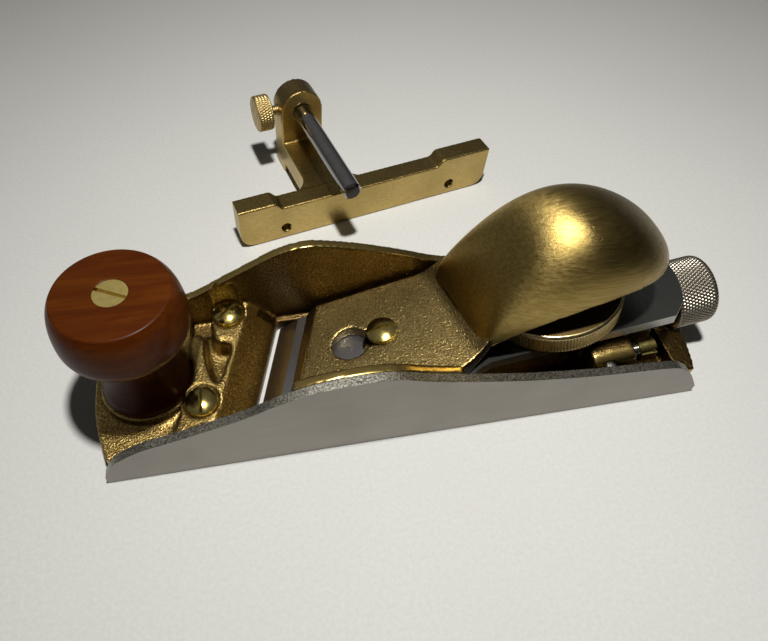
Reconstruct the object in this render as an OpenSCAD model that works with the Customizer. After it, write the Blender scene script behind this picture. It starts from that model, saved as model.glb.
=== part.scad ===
// Skew block plane with a loose side plate, a domed palm rest and a separate fence.
// The origin is on the sole, at the middle of its length and width.
// +X points to the heel, +Y to the solid side wall, +Z up. All sizes are in millimetres.

/* [Body] */
// Length of the sole from toe to heel
body_len = 180; // [176:1:190]
// Width over the side wall and the side plate
body_w = 50; // [49:0.5:54]
// Radius of the toe and the heel seen from above
end_r = 65; // [55:1:120]
// Thickness of the sole behind the bed
sole_t = 4; // [3:0.1:4.1]
// Thickness of the solid side wall
wall_t = 3; // [2.5:0.1:3.5]
// Thickness of the short cheek beside the side plate
cheek_t = 3.1; // [2.5:0.1:3.2]
// Height of the flat deck at the toe
deck_z = 8; // [7:0.1:9]
// Height of the raised block in front of the mouth
toe_block_z = 13.5; // [13:0.1:15]
// Height of the end wall at the heel
heel_z = 8.5; // [7:0.1:10]
// Distance from the toe to the cutting edge on the centre line
toe_len = 49.5; // [49:0.1:52]
// Width of the mouth in front of the cutting edge
mouth_gap = 0.8; // [0.6:0.1:2]

/* [Side plate] */
// Thickness of the side plate
plate_t = 2.6; // [2:0.1:3]
// Radius of the two pins that locate the side plate
pin_r = 2.5; // [2:0.1:2.8]
// Length of the front pin inside the body
front_pin_len = 16; // [12:0.5:16]
// Length of the rear pin inside the heel lug
rear_pin_len = 6.5; // [5:0.1:7]

/* [Blade] */
// Angle between the bed and the sole, square to the cutting edge
bed_angle = 12; // [11.8:0.1:12.5]
// Skew of the cutting edge seen from above
skew = 18; // [16:0.5:19]
// Thickness of the blade
blade_t = 3.2; // [3:0.1:3.4]
// Length of the blade along its centre line
blade_len = 125; // [124:0.5:127]
// Width of the blade's tail
tail_w = 34.5; // [33:0.1:35]
// Grinding angle of the bevel
bevel_angle = 25; // [22:1:35]
// Radius of the blade's rounded tail end
tail_end_r = 30; // [26:1:60]
// Farthest that the adjuster draws the blade back
feed_back = 3; // [2:0.1:3]

/* [Lever cap] */
// Thickness of the cap's front above the blade
cap_front_t = 3.2; // [2.8:0.1:4]
// Thickness of the cap above the blade where the neck meets the dome
cap_neck_t = 6.4; // [6.1:0.1:6.8]
// Distance from the cutting edge to the cap's front edge
cap_setback = 9.8; // [9:0.1:12]
// Radius of the round end of the keyhole
keyhole_r = 5.6; // [5.2:0.1:6]
// Distance that the cap slides back to free it from its screw
cap_slide = 10; // [9:0.1:11]

/* [Palm rest dome] */
// Length of the dome
dome_len = 54.6; // [53:0.2:57]
// Width of the dome at its middle
dome_w = 36; // [34:0.2:36.4]
// Height of the dome above its rim at its middle
dome_h = 19.4; // [18:0.2:22]
// Height of the rim above the bed at the dome's middle
rim_h = 21.7; // [21:0.1:23]
// Wall thickness of the dome
dome_wall = 2.2; // [1.8:0.1:3]

/* [Spin wheel] */
// Radius of the knurled spin wheel
wheel_r = 20; // [18:0.5:20.5]
// Thickness of the spin wheel
wheel_t = 6.8; // [5:0.1:7]
// Radius of the stud that turns in the dome's boss
stud_r = 4; // [3:0.1:4.5]

/* [Front knob] */
// Largest radius of the wooden knob
knob_r = 17; // [15:0.1:18]
// Height of the wooden knob
knob_h = 39; // [36:0.5:42]
// Radius of the knob's foot
knob_foot_r = 12.6; // [11:0.1:13]
// Radius of the knob's neck
knob_neck_r = 8.4; // [7.5:0.1:10]

/* [Adjuster] */
// Radius of the knurled adjuster knob
adj_r = 10.6; // [9.5:0.1:10.7]
// Length of the adjuster knob
adj_len = 12.5; // [10:0.5:15]
// Depth of the adjuster's axis below the bed
adj_drop = 10.85; // [10.8:0.05:11]
// Radius of the adjuster screw
adj_screw_r = 3; // [2.5:0.1:3.2]

/* [Screws] */
// Shank radius of the two toe screws
toe_screw_r = 2.4; // [2:0.1:2.6]
// Head radius of the two toe screws
toe_head_r = 4.4; // [4:0.1:4.6]
// Shank radius of the lever cap screw
cap_screw_r = 2.5; // [2:0.1:2.7]
// Head radius of the lever cap screw
cap_head_r = 4.5; // [4.2:0.1:4.8]
// Shank radius of the heel screw
heel_screw_r = 2; // [1.6:0.1:2.3]
// Head radius of the heel screw
heel_head_r = 2.9; // [2.7:0.1:3.2]
// Width of the screwdriver slots
slot_w = 1; // [0.8:0.1:1.2]

/* [Fence] */
// Length of the fence's facing bar
fence_len = 99.5; // [98:0.5:104]
// Thickness of the facing bar
fence_t = 7.5; // [6:0.5:9]
// Height of the two pads that bear on the sole
fence_pad_z = 16.6; // [16:0.1:18]
// Height of the facing bar between the pads
fence_mid_z = 14; // [13.2:0.1:15]
// Radius of the fence rod
rod_r = 3.2; // [3:0.1:3.4]
// Length of the fence rod
rod_len = 59.5; // [50:0.5:70]
// Width of the fence's post
post_w = 16.4; // [15:0.1:18]
// Radius of the two holes for a wooden facing
facing_hole_r = 1.8; // [1.5:0.1:2.2]

/* [Hidden] */
$fn = 64;

// Clearances: a running fit on a radius, a flat seat and the gap past a moving piece
fit = 0.05;
seat = 0.1;
free = 0.4;
// Overshoot of a cutting tool past the face that it cuts
over = 1;
// Larger than the whole plane, for cutting tools that take away everything on one side
far = 300;

// Ends and sides of the body
toe_x = -body_len / 2;
heel_x = body_len / 2;
wall_y = body_w / 2;
wall_in_y = wall_y - wall_t;
plate_in_y = plate_t - body_w / 2;
near_y = plate_in_y + seat;
cheek_in_y = near_y + cheek_t;
mouth_x = toe_x + toe_len;

// The bed rises toward the heel and falls toward the side wall
bed_rise = cos(skew) * tan(bed_angle);
bed_fall = sin(skew) * tan(bed_angle);
bed_pitch = atan(bed_rise);
bed_roll = -asin(bed_fall / sqrt(1 + bed_rise * bed_rise + bed_fall * bed_fall));
bed_skew = atan(tan(skew) * cos(bed_pitch)
    / (cos(bed_roll) - tan(skew) * sin(bed_roll) * sin(bed_pitch)));

// Blade, in the bed's own frame: along the blade, across it and up from the bed
blade_far_b = wall_in_y - 2.6;
blade_b = blade_far_b - tail_w / 2;
tail_near_b = blade_far_b - tail_w;
blade_near_b = cheek_in_y + free;
head_near_b = near_y + 0.3;
head_len = 15;
shoulder_a = 57;
tail_a = 64;
tail_clip = 4.5;
feed_out = 0.6;
edge_back = 0.3;
edge_land = 0.1;
blade_end_a = blade_len;

// Lever cap and the pieces on its axis, in the bed's frame
cap_b = 1.4;
cap_screw_a = 38;
cap_bottom = blade_t + 2 * seat;
cap_near_b = cheek_in_y + free;
cap_far_b = blade_far_b + 0.5;
cap_neck_a = 52;
cap_crease_a = cap_neck_a + 7;
cap_back_a = cap_crease_a + 7;
cap_lift = 5.7;
cap_shear = 0.18;
cap_front_c = cap_bottom + cap_front_t;
cap_slot_r = cap_screw_r + free;
blade_slot_a = cap_screw_a - 2;
blade_slot_len = 10;
wheel_a = 88.5;
wheel_c = blade_t + 0.4;
boss_r = stud_r + 3;
boss_gap = 0.6;
stud_len = 16;

// Dome: how its width, height and rim lean toward the front and fill out at both ends,
// and how blunt its front is
dome_y = 2.1;
dome_mid_x = mouth_x + cap_crease_a - 1.7 + dome_len / 2;
dome_w_lean = 0.4;
dome_w_full = 3.3;
dome_h_lean = 11.4;
dome_h_full = -0.7;
dome_h_cube = -2.8;
rim_lean = -4.4;
rim_full = -7.9;
dome_w_round = 0.9;
dome_h_round = 0.92;
dome_w_blunt = 0.67;
dome_h_blunt = 0.14;
dome_square = 2.3;
dome_rings = 28;
dome_sides = 18;
dome_end = 6;

// Front knob and its seat
knob_x = toe_x + 15.8;
knob_seat_z = deck_z + 2.5;
knob_top_z = knob_seat_z + knob_h;
knob_screw_r = 2.4;
knob_screw_head_r = 4.3;

// Toe block: its front face, its rear edge and the lip at the mouth, on the centre line
block_front = 20.5;
block_rear = 9.5;
block_foot = 3;
block_front_x = mouth_x - block_front;
block_rear_x = mouth_x - block_rear;
block_foot_x = mouth_x - block_foot;
block_foot_z = 6;
lip_z = 3.2;
screw_line_x = (block_front_x + block_rear_x) / 2;
cross_bore_z = 8.4;
near_screw_y = -11.2;
near_screw_x = screw_line_x + near_screw_y * tan(skew);
far_screw_y = wall_in_y - 3.4;
far_screw_x = screw_line_x + far_screw_y * tan(skew);
toe_seat_z = toe_block_z - 1.2;
toe_rib_z = toe_block_z - 1;
pocket_z = deck_z - 1.5;
toe_head_h = 2.6;
rod_bore_len = 16;

// Heel lug for the rear pin and the heel screw
lug_x = heel_x - 38;
lug_len = 12;
lug_r = 4.6;
lug_y = near_y + lug_r + 0.1;
lug_z = 14.2;
rear_pin_x = lug_x + 4.5;
rear_pin_z = lug_z + 4.5 * tan(bed_pitch);
heel_head_len = 4.4;

// Adjuster, in the bed's frame
adj_front_a = blade_end_a + 0.6;
adj_lug_a = adj_front_a - 7.6;
adj_lug_len = 5.6;
adj_lug_r = adj_screw_r + 3.5;
retainer_len = 3.8;
retainer_r = adj_screw_r + 2.3;
carriage_len = 11.5;
carriage_a = adj_lug_a - retainer_len - 1.2 - feed_back - carriage_len;
carriage_w = 14;
carriage_r = adj_screw_r + 1.4;
tongue_len = 4;
tongue_w = 12;
tongue_top = 1.9;
rail_w = 5;
rail_inset = 2.3;
rail_back_a = adj_lug_a - 4;
bed_len = 60;
bed_back_x = mouth_x + bed_len;
adj_reach = adj_lug_a - carriage_a + feed_out + 5;

// Fence: where it stands, and its own frame along the bar, back from it and up
fence_off_y = 33.5;
fence_pos = [mouth_x - 1.1, wall_y + fence_off_y, 0];
fence_turn = 11.9;
fence_left = -1;
pad_left_len = 13.5;
pad_right_len = 19.5;
hole_left_s = 16.1;
hole_right_s = 83.1;
hole_z = 4.5;
bar_corner_r = 5;
rod_s = 36;
rod_z = fence_pad_z + cross_bore_z;
arm_z = 13;
arm_bottom_z = 4;
arm_fillet_r = 8;
post_d = 36;
post_t = 9.6;
rod_front_d = -12.9;
thumb_r = 6.5;
thumb_t = 5.8;
thumb_neck = 3;
thumb_screw_r = 1.9;

// A smooth line through points: each stretch between two points is a cubic
function spline_at(a, b, c, d, t) = (2 * b + (c - a) * t + (2 * a - 5 * b + 4 * c - d) * t * t
    + (3 * b - a - 3 * c + d) * t * t * t) / 2;
function spline(p, steps = 5) = [
    for (i = [0 : len(p) - 2], j = [0 : steps - 1])
        spline_at(p[max(i - 1, 0)], p[i], p[i + 1], p[min(i + 2, len(p) - 1)], j / steps),
    p[len(p) - 1]];

function bed_z(x, y) = (x - mouth_x) * bed_rise - y * bed_fall;

// Top line of the side plate and the cheek: toe, hump and heel
plate_line = spline([
    [toe_x + 2.6, 3], [toe_x + 6, 9.3], [toe_x + 9, 12], [toe_x + 15, 15.3],
    [mouth_x - 26, 17.7], [mouth_x - 8, 23.6], [mouth_x + 2, 28.2], [mouth_x + 12, 31.5],
    [mouth_x + 24, 32.6], [mouth_x + 33, 31.8], [mouth_x + 43, 28.2], [mouth_x + 60, 23.7],
    [mouth_x + 75, 20.6], [heel_x - 39, 18.2], [heel_x - 17, 16.2], [heel_x - 11, 13.6],
    [heel_x - 7.5, 10.2], [heel_x - 2.6, 3]]);

// Top line of the solid side wall, which has a shorter and higher hump
wall_line = spline([
    [toe_x + 4, 3], [toe_x + 8, 10], [toe_x + 14, 14.3], [mouth_x - 20, 17.9],
    [mouth_x - 9, 23.5], [mouth_x + 3, 30], [mouth_x + 9, 32.8], [mouth_x + 15, 34.1],
    [mouth_x + 21, 33.7], [mouth_x + 33, 30.4], [mouth_x + 46, 25.7], [mouth_x + 60, 20.3],
    [mouth_x + 80, 17.2], [heel_x - 20, 15.8], [heel_x - 12, 13.4], [heel_x - 8, 10], [heel_x - 4, 3]]);

// Outlines seen from above, from the line of the toe screws: the rib beside the knob, and
// the pocket between that rib and the raised block, which is a channel at its far end
toe_rib = spline([[-6.3, 8], [-6, 12.4], [-4, 13.1], [-1.9, 12.3], [-1.7, 6], [-1.1, 0],
    [-1.2, -5], [-4, -8], [-6.6, -5], [-6.2, 0], [-6.3, 8]], 4);
toe_pocket = spline([[-1.9, 12], [-1.6, 16], [-0.2, 17.6], [0.9, 15], [0.9, 10.5], [2.2, 8],
    [5.6, 7.3], [5.4, 4], [3.4, -1.2], [1.5, -5.8], [0.3, -4.6], [-0.8, -0.5], [-1.6, 5],
    [-1.9, 12]], 4);

// A frame on the bed: x along the blade, y across it, z up from the bed
module on_bed() {
    translate([mouth_x, 0, 0]) rotate([0, -bed_pitch, 0]) rotate([bed_roll, 0, 0]) children();
}

// A frame on the heel screw's axis, which runs parallel to the blade
module on_heel_screw() {
    translate([lug_x, lug_y, lug_z]) rotate([0, -bed_pitch, 0]) rotate([0, 90, 0]) children();
}

// A frame on the adjuster's axis, z along it toward the heel
module on_adjuster(a) {
    on_bed() translate([a, blade_b, -adj_drop]) rotate([0, 90, 0]) children();
}

// A prism that runs parallel to the cutting edge; points are [x on the centre line, z]
module skew_bar(points) {
    rotate([0, 0, -skew]) rotate([90, 0, 0]) linear_extrude(height = far, center = true)
        polygon([for (p = points) [p[0] * cos(skew), p[1]]]);
}

// An upright slab from its side view, between two values of y
module side_slab(points, y0, y1) {
    translate([0, y1, 0]) rotate([90, 0, 0]) linear_extrude(height = y1 - y0) polygon(points);
}

module block_between(lo, hi) {
    translate(lo) cube(hi - lo);
}

// The sole's outline, with the side plate's strip taken off
module sole_outline() {
    intersection() {
        translate([toe_x + end_r, 0]) circle(r = end_r, $fn = 128);
        translate([toe_x, near_y]) square([body_len / 2, wall_y - near_y]);
    }
    intersection() {
        translate([heel_x - end_r, 0]) circle(r = end_r, $fn = 128);
        translate([0, near_y]) square([body_len / 2, wall_y - near_y]);
    }
}

// A slotted screw along z with its seat at z = 0, its head above and its shank below
module slotted_screw(head_r, head_h, shank_r, shank_len, dome_h = 0) {
    difference() {
        union() {
            cylinder(r = head_r, h = head_h - dome_h);
            if (dome_h > 0)
                translate([0, 0, head_h - dome_h]) round_cap(head_r, dome_h);
            translate([0, 0, -shank_len]) cylinder(r = shank_r, h = shank_len + over / 2);
        }
        translate([-head_r - over, -slot_w / 2, head_h - slot_w * 1.3])
            cube([2 * (head_r + over), slot_w, slot_w * 2]);
    }
}

// The low round cap of a sphere that has radius r at its foot and rises h
module round_cap(r, h) {
    ball_r = (r * r + h * h) / (2 * h);
    rotate_extrude() intersection() {
        translate([0, h - ball_r]) circle(r = ball_r, $fn = 128);
        square([r, h]);
    }
}

// A disc with straight knurling and chamfered faces
module knurled_disc(r, h, teeth, depth, chamfer) {
    intersection() {
        linear_extrude(height = h)
            polygon([for (i = [0 : 2 * teeth - 1])
                (r - (i % 2) * depth) * [cos(i * 180 / teeth), sin(i * 180 / teeth)]]);
        rotate_extrude($fn = 128)
            polygon([[0, 0], [r - chamfer, 0], [r + 0.1, chamfer + 0.1],
                [r + 0.1, h - chamfer - 0.1], [r - chamfer, h], [0, h]]);
    }
}

// Everything of the body that lies inside the sole's outline
module body_mass() {
    // Sole and toe deck
    block_between([toe_x, near_y, 0], [heel_x, wall_y, sole_t]);
    block_between([toe_x, near_y, 0], [screw_line_x, wall_y, deck_z]);
    block_between([heel_x - 9, near_y, 0], [heel_x, wall_y, heel_z]);
    // Raised block with a slope down to the mouth's lip
    skew_bar([[block_front_x, 0], [block_front_x, toe_block_z], [block_rear_x, toe_block_z],
        [block_foot_x, block_foot_z], [mouth_x - mouth_gap, lip_z], [mouth_x - mouth_gap, 0]]);
    // Knob seat, and the rib between it and the raised block
    translate([knob_x, 0, 0]) cylinder(r = knob_foot_r + 0.8, h = knob_seat_z);
    translate([screw_line_x, 0, 0]) linear_extrude(height = toe_rib_z) polygon(toe_rib);
    // Bed ramp
    bed_wedge(mouth_x + 2.4, bed_back_x);
    // Rails that carry the blade's tail
    intersection() {
        bed_wedge(bed_back_x - over, heel_x);
        on_bed() for (b = [tail_near_b + rail_inset, blade_far_b - rail_inset - rail_w])
            translate([0, b, -far / 2]) cube([rail_back_a, rail_w, far]);
    }
    // Solid side wall, and the cheek beside the side plate
    side_slab(wall_line, wall_in_y, wall_y);
    intersection() {
        side_slab([for (p = plate_line) [p[0], p[1] - 0.4]], near_y, cheek_in_y);
        block_between([mouth_x + 6.5, near_y, 0], [mouth_x + 52, cheek_in_y, far]);
    }
    // Lug for the rear pin and the heel screw
    on_heel_screw() cylinder(r = lug_r, h = lug_len);
    block_between([lug_x + 1, near_y, 0], [lug_x + lug_len - 1, lug_y + lug_r - 1, lug_z]);
    // Lug for the adjuster screw
    on_adjuster(adj_lug_a) cylinder(r = adj_lug_r, h = adj_lug_len);
    on_bed() translate([adj_lug_a, blade_b - adj_lug_r, -adj_drop - 20])
        cube([adj_lug_len, 2 * adj_lug_r, 20]);
}

// A wedge under the bed, between two places on the centre line
module bed_wedge(x0, x1) {
    skew_bar([[x0, 0], [x1, 0], [x1, (x1 - mouth_x) * bed_rise], [x0, (x0 - mouth_x) * bed_rise]]);
}

module body() {
    color([0.63, 0.5, 0.27]) difference() {
        intersection() {
            body_mass();
            linear_extrude(height = far) sole_outline();
        }
        // Mouth, open to the side plate
        intersection() {
            skew_bar([[mouth_x - mouth_gap, -over], [mouth_x + 2.4, -over], [mouth_x + 2.4, 40],
                [mouth_x - mouth_gap, 40]]);
            block_between([-far, near_y - over, -over], [far, blade_far_b + free, 40]);
        }
        // Bed where it lies lower than the sole's upper face
        intersection() {
            skew_bar([[mouth_x, 0], [bed_back_x, (bed_back_x - mouth_x) * bed_rise], [bed_back_x, 40],
                [mouth_x, 40]]);
            block_between([-far, cheek_in_y, 0], [far, blade_far_b + free, 2 * sole_t]);
        }
        // Way for the wide head of the blade under the front of the cheek
        on_bed() translate([-8, head_near_b - 2, 0])
            cube([8 + head_len + feed_back + free + 1.5, blade_near_b - head_near_b + 4, cap_bottom + 0.6]);
        // Pocket between the toe screws
        translate([screw_line_x, 0, pocket_z]) linear_extrude(height = 20) polygon(toe_pocket);
        // Low place beside the side wall, in front of the raised block
        block_between([far_screw_x - 12, wall_in_y - 7, deck_z - 2.5],
            [far_screw_x - 5.2, wall_in_y, deck_z + 20]);
        // Flat seat under the knob, where the rib would stand higher
        translate([knob_x, 0, knob_seat_z]) cylinder(r = knob_foot_r + free, h = knob_h);
        // Knob screw hole
        translate([knob_x, 0, 1.5]) cylinder(r = knob_screw_r + fit, h = 20);
        // Toe screws: counterbores and threads
        for (p = [[near_screw_x, near_screw_y], [far_screw_x, far_screw_y]]) {
            translate([p[0], p[1], toe_seat_z]) cylinder(r = toe_head_r + 0.9, h = 10);
            translate([p[0], p[1], cross_bore_z]) cylinder(r = toe_screw_r + fit, h = 10);
        }
        // Cross bores for the front pin and the fence rod
        translate([near_screw_x, near_y - over, cross_bore_z]) rotate([-90, 0, 0])
            cylinder(r = pin_r + fit, h = front_pin_len + 2 * over);
        translate([far_screw_x, wall_y + over, cross_bore_z]) rotate([90, 0, 0])
            cylinder(r = rod_r + fit, h = rod_bore_len + over);
        // Cross bore for the rear pin, and the heel screw's thread
        translate([rear_pin_x, near_y - over, rear_pin_z]) rotate([-90, 0, 0])
            cylinder(r = pin_r + fit, h = rear_pin_len + 2 * over);
        on_heel_screw() translate([0, 0, 4.5]) cylinder(r = heel_screw_r + fit, h = lug_len);
        // Lever cap screw's thread
        on_bed() translate([cap_screw_a, cap_b, -6]) cylinder(r = cap_screw_r + fit, h = 20);
        // Way for the adjuster screw and its carriage, above the sole
        intersection() {
            union() {
                on_adjuster(carriage_a - feed_out - 5) cylinder(r = adj_screw_r + free, h = adj_reach);
                on_bed() translate([carriage_a - feed_out - free, blade_b - carriage_w / 2 - free,
                    -adj_drop - carriage_r - free])
                    cube([adj_lug_a + free - carriage_a, carriage_w + 2 * free, 2 * adj_drop]);
            }
            block_between([0, near_y, sole_t], [far, wall_in_y, far]);
        }
        // Adjuster screw's bearing, and the scoop that clears the adjuster knob
        on_adjuster(adj_lug_a - over) cylinder(r = adj_screw_r + fit, h = adj_lug_len + 2 * over);
        on_adjuster(adj_front_a - 0.8) cylinder(r = adj_r + free, h = adj_len + 2 * feed_back);
    }
}

module side_plate() {
    color([0.6, 0.6, 0.59]) difference() {
        side_slab(concat([[toe_x + 2.5, 0]], plate_line, [[heel_x - 2.5, 0]]), -body_w / 2, plate_in_y);
        plate_pin_place(near_screw_x, cross_bore_z) cylinder(r = pin_r + fit / 2, h = 1.3 + over);
        plate_pin_place(rear_pin_x, rear_pin_z) cylinder(r = pin_r + fit / 2, h = 1.3 + over);
    }
}

// The blind seat of a pin in the side plate, z pointing into the body
module plate_pin_place(x, z) {
    translate([x, plate_in_y - 1.3, z]) rotate([-90, 0, 0]) children();
}

module plate_pin_front() {
    color([0.7, 0.7, 0.7])
        plate_pin_place(near_screw_x, cross_bore_z) cylinder(r = pin_r, h = 1.3 + seat + front_pin_len);
}

module plate_pin_rear() {
    color([0.7, 0.7, 0.7])
        plate_pin_place(rear_pin_x, rear_pin_z) cylinder(r = pin_r, h = 1.3 + seat + rear_pin_len);
}

module plate_toe_screw() {
    color([0.72, 0.58, 0.3]) translate([near_screw_x, near_screw_y, toe_seat_z + seat]) rotate([0, 0, 87])
        slotted_screw(toe_head_r, toe_head_h, toe_screw_r, toe_seat_z - cross_bore_z - pin_r, 1.4);
}

module rod_lock_screw() {
    color([0.72, 0.58, 0.3]) translate([far_screw_x, far_screw_y, toe_seat_z + seat]) rotate([0, 0, 40])
        slotted_screw(toe_head_r, toe_head_h, toe_screw_r, toe_seat_z - cross_bore_z - rod_r, 1.4);
}

// The tip bears on the rear pin; the thread shows between the lug and the head
module plate_heel_screw() {
    tip = 4.5 / cos(bed_pitch) + pin_r + seat;
    head = lug_len + 2.2;
    color([0.74, 0.62, 0.3]) on_heel_screw() {
        translate([0, 0, head]) rotate([0, 0, 60])
            slotted_screw(heel_head_r, heel_head_len, heel_screw_r, head - tip);
    }
}

// Side view of the wooden knob: foot, hollow neck, rounded ball and flat top
module knob() {
    ball_h = 0.48 * knob_h;
    widest_z = knob_top_z - 10.75;
    ball_bottom_z = knob_top_z - ball_h;
    color([0.55, 0.26, 0.13]) translate([knob_x, 0, 0]) difference() {
        rotate_extrude($fn = 128) polygon(concat(
            [[0, knob_seat_z], [knob_foot_r - 0.4, knob_seat_z], [knob_foot_r, knob_seat_z + 0.5]],
            [for (t = [0 : 0.1 : 1]) [knob_neck_r + (knob_foot_r - knob_neck_r) * pow(1 - t, 2.4),
                knob_seat_z + 2 + t * (ball_bottom_z - knob_seat_z - 2)]],
            [for (t = [80 : -10 : 0]) [knob_neck_r + (knob_r - knob_neck_r) * cos(t),
                widest_z - (widest_z - ball_bottom_z) * sin(t)]],
            [for (t = [10 : 10 : 90]) [knob_r - 3.4 + 3.4 * cos(t),
                widest_z + (knob_top_z - widest_z) * sin(t)]],
            [[0, knob_top_z]]));
        translate([0, 0, knob_seat_z - over]) cylinder(r = knob_screw_r + fit, h = knob_h + 2 * over);
        translate([0, 0, knob_top_z - 2.6]) cylinder(r = knob_screw_head_r + fit, h = 10);
    }
}

module knob_screw() {
    color([0.72, 0.6, 0.3]) translate([knob_x, 0, knob_top_z - 2.6]) rotate([0, 0, -28])
        slotted_screw(knob_screw_head_r, 2.5, knob_screw_r, knob_top_z - 2.6 - 2);
}

// Outline of the blade seen square to the bed
module blade_outline() {
    edge_near = head_near_b * tan(bed_skew);
    edge_far = blade_far_b * tan(bed_skew);
    difference() {
        intersection() {
            polygon([[edge_near, head_near_b], [head_len, head_near_b], [head_len, blade_near_b],
                [shoulder_a, blade_near_b], [shoulder_a + 4.5, (blade_near_b + tail_near_b) / 2 + 0.6],
                [tail_a + 1, tail_near_b], [blade_end_a - tail_clip - 2.7, tail_near_b],
                [blade_end_a - 2.7, tail_near_b + tail_clip], [blade_end_a + over, tail_near_b + tail_clip],
                [blade_end_a + over, blade_far_b - tail_clip], [blade_end_a - 2.7, blade_far_b - tail_clip],
                [blade_end_a - tail_clip - 2.7, blade_far_b], [edge_far, blade_far_b]]);
            union() {
                translate([blade_end_a - tail_end_r, blade_b]) circle(r = tail_end_r, $fn = 128);
                translate([-far, -far / 2]) square([far + blade_end_a - tail_end_r, far]);
            }
        }
        // Slot that passes over the lever cap screw and its head
        translate([blade_slot_a, cap_b]) circle(r = cap_head_r + 0.5);
        translate([blade_slot_a + blade_slot_len, cap_b]) circle(r = cap_head_r + 0.5);
        translate([blade_slot_a, cap_b - cap_head_r - 0.5])
            square([blade_slot_len, 2 * cap_head_r + 1]);
    }
}

module blade() {
    slot_a = carriage_a + (carriage_len - tongue_len) / 2 - seat;
    color([0.36, 0.36, 0.35]) on_bed() translate([edge_back, 0, seat]) difference() {
        linear_extrude(height = blade_t) blade_outline();
        // Bevel ground on the upper face, down to a blunt edge that is a tenth thick
        translate([0, 0, edge_land]) rotate([0, 0, -bed_skew]) rotate([0, -bevel_angle, 0])
            translate([-20, -60, 0]) cube([20 + far / 4, 120, 20]);
        // Slot in the lower face for the adjuster carriage
        translate([slot_a - edge_back, blade_b - tongue_w / 2 - seat, -over])
            cube([tongue_len + 2 * seat, tongue_w + 2 * seat, tongue_top + over + seat]);
    }
}

// One point of the dome's skin: s runs from front to rear, r over the section, in degrees.
// The skin is drawn in by the given depth, so that depth 0 is the outside. The front slants
// like the neck: its far side lies farther forward.
function dome_point(s, r, depth) =
    let (c = cos(s), blunt = pow(max(c, 0), 2),
        x = dome_mid_x - (dome_len / 2 - depth) * c,
        w = (dome_w / 2 + dome_w_lean * c + dome_w_full * c * c)
            * pow(sin(s), dome_w_round - dome_w_blunt * blunt) * (1 - depth * 2 / dome_w),
        h = (dome_h + dome_h_lean * c + dome_h_full * c * c + dome_h_cube * c * c * c)
            * pow(sin(s), dome_h_round - dome_h_blunt * blunt) * (1 - depth / dome_h),
        rim = bed_z(x, dome_y) + rim_h + rim_lean * c + rim_full * c * c,
        side = w * pow(abs(cos(r)), 2 / dome_square) * sign(cos(r)))
    [x - cap_shear * side * (1 + c) / 2, dome_y + side, rim + h * pow(sin(r), 2 / dome_square)];

function dome_skin(depth) = [
    for (i = [0 : dome_rings], j = [0 : dome_sides])
        dome_point(dome_end + (180 - 2 * dome_end) * i / dome_rings, 180 * j / dome_sides, depth)];

// The dome as a shell with an open underside, or as the solid that fills it to mid-wall
module dome(shell) {
    row = dome_sides + 1;
    n = row * (dome_rings + 1);
    last = dome_rings * row;
    outer_faces = [for (i = [0 : dome_rings - 1], j = [0 : dome_sides - 1])
        let (k = i * row + j) each [[k, k + row, k + row + 1], [k, k + row + 1, k + 1]]];
    outer_ends = [for (j = [1 : dome_sides - 1])
        each [[0, j, j + 1], [last, last + j + 1, last + j]]];
    inner_faces = [for (f = concat(outer_faces, outer_ends)) [f[2] + n, f[1] + n, f[0] + n]];
    rim_faces = [for (i = [0 : dome_rings - 1])
        let (k = i * row, m = i * row + dome_sides)
        each [[k, k + n, k + n + row], [k, k + n + row, k + row],
            [m, m + n + row, m + n], [m, m + row, m + row + n]]];
    end_rims = [[0, dome_sides, dome_sides + n], [0, dome_sides + n, n],
        [last, last + n, last + dome_sides + n], [last, last + dome_sides + n, last + dome_sides]];
    floor_faces = [for (i = [0 : dome_rings - 1])
        let (k = i * row, m = i * row + dome_sides)
        each [[k, m, m + row], [k, m + row, k + row]]];
    if (shell)
        polyhedron(points = concat(dome_skin(0), dome_skin(dome_wall)),
            faces = concat(outer_faces, outer_ends, inner_faces, rim_faces, end_rims));
    else
        polyhedron(points = dome_skin(dome_wall / 2), faces = concat(outer_faces, outer_ends, floor_faces));
}

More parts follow.
